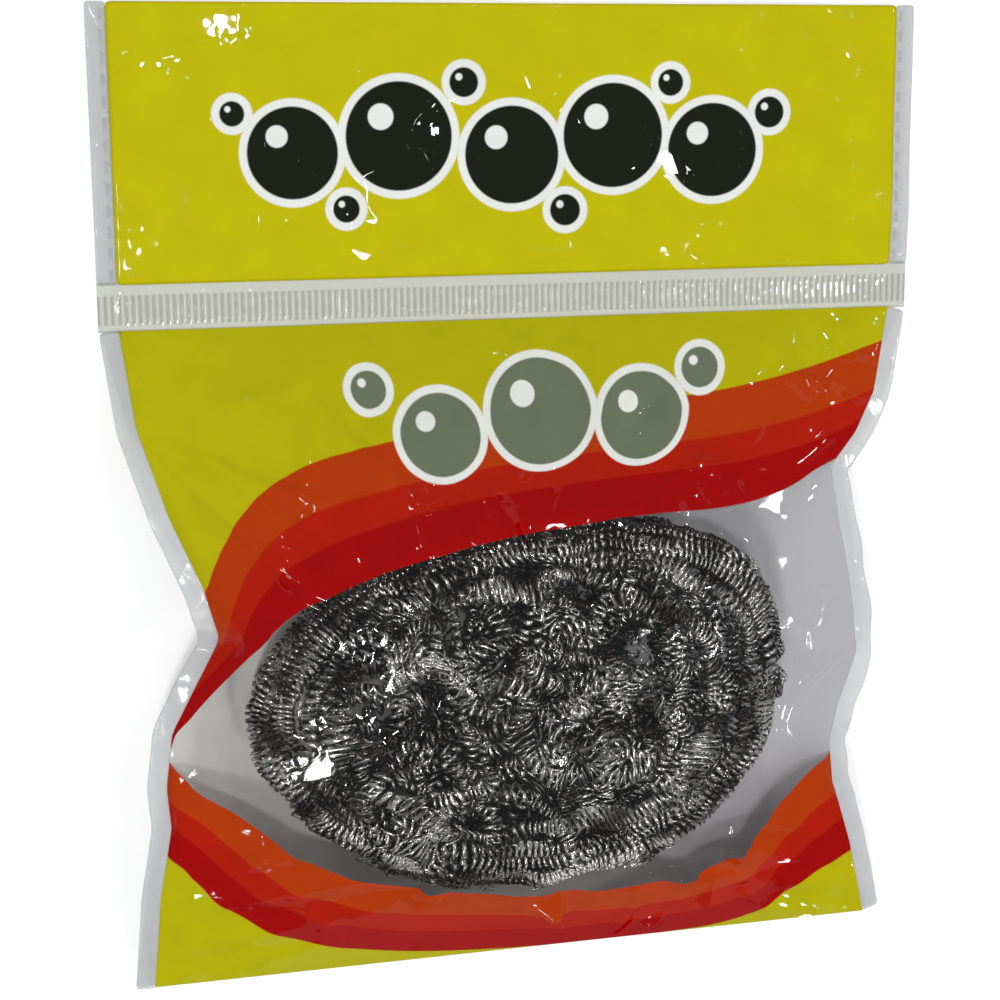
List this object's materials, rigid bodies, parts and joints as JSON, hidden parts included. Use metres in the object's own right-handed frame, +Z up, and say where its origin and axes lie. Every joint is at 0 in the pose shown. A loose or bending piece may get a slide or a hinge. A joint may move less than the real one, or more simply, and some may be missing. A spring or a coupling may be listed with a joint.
{
  "type": "bagged pot scrubber",
  "caption": "Oval pot scourer of curled steel strand, sealed in a printed clear film pouch with a crimped cross weld and a flat header flap.",
  "frame": {"origin": "under the middle of the bag, on the surface that the bag lies on", "axes": "+X across the bag to the right as seen from the front, +Y towards the header, +Z up out of the printed front"},
  "size_m": [0.14, 0.165, 0.0275],
  "materials": {
    "printed_film": "glossy printed polypropylene film",
    "clear_weld": "clear welded polypropylene film",
    "steel_strand": "bright drawn wire"
  },
  "bodies": {
    "pouch": {"pouch_front_film": "printed_film", "pouch_back_film": "printed_film", "pouch_left_weld": "clear_weld", "pouch_right_weld": "clear_weld", "bottom_fold": "printed_film", "crimped_band": "clear_weld"},
    "header": {"header_front_film": "printed_film", "header_back_film": "printed_film", "header_left_weld": "clear_weld", "header_right_weld": "clear_weld"},
    "scourer": {"inner_winding": "steel_strand", "rim_curls_right": "steel_strand", "rim_curls_left": "steel_strand", "rim_curls_upper": "steel_strand", "rim_curls_lower": "steel_strand"}
  },
  "joints": [
    {"name": "header_fold", "type": "hinge", "parent": "pouch", "child": "header", "pos_m": [0, 0.0379, 0.0002], "axis": [1, 0, 0], "range_deg": [-120, 120]},
    {"name": "scourer_slide", "type": "slide", "parent": "pouch", "child": "scourer", "axis": [0, 1, 0], "range_m": [0, 0.004]}
  ]
}
